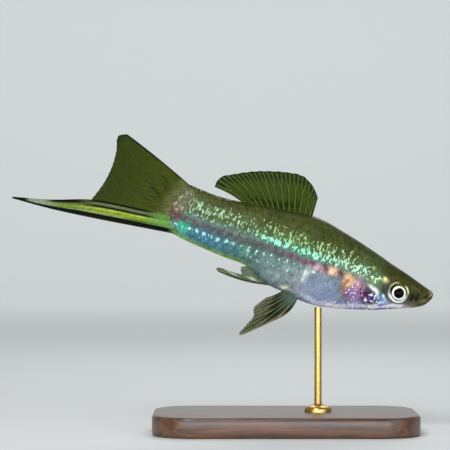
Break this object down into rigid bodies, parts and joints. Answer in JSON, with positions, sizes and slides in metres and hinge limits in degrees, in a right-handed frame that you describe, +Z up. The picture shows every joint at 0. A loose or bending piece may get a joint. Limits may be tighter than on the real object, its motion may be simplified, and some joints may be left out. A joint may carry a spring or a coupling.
{
  "type": "swordtail fish model",
  "caption": "Life-size male swordtail fish, swimming nose down, with rayed fins and a long sword under its tail, held by a slim rod on a plain oblong base.",
  "frame": {"origin": "centre of the stand base's flat underside", "axes": "+Z up, +X the way the fish faces and the length of the base, +Y the fish's left side"},
  "size_m": [0.0925, 0.034, 0.0653],
  "materials": {
    "skin": "wet, scaled skin: olive back, silver-blue flank, red-brown side stripe",
    "gill_cover": "smooth silvery skin with a violet sheen",
    "eye": "wet gloss, black pupil in a silver ring",
    "fin": "thin translucent olive membrane with paler rays",
    "sword": "yellow-green rays between dark borders",
    "stand_wood": "dark oiled walnut, satin",
    "stand_brass": "satin turned brass"
  },
  "bodies": {
    "root": {"head": "skin", "trunk": "skin", "tail_stalk": "skin", "gill_cover_left": "gill_cover", "gill_cover_right": "gill_cover", "eye_left": "eye", "eye_right": "eye", "dorsal_fin": "fin", "caudal_fin": "fin", "sword": "sword", "gonopodium": "fin", "pectoral_fin_left": "fin", "pectoral_fin_right": "fin", "pelvic_fin_left": "fin", "pelvic_fin_right": "fin", "stand_base": "stand_wood", "stand_rod": "stand_brass"}
  },
  "joints": []
}
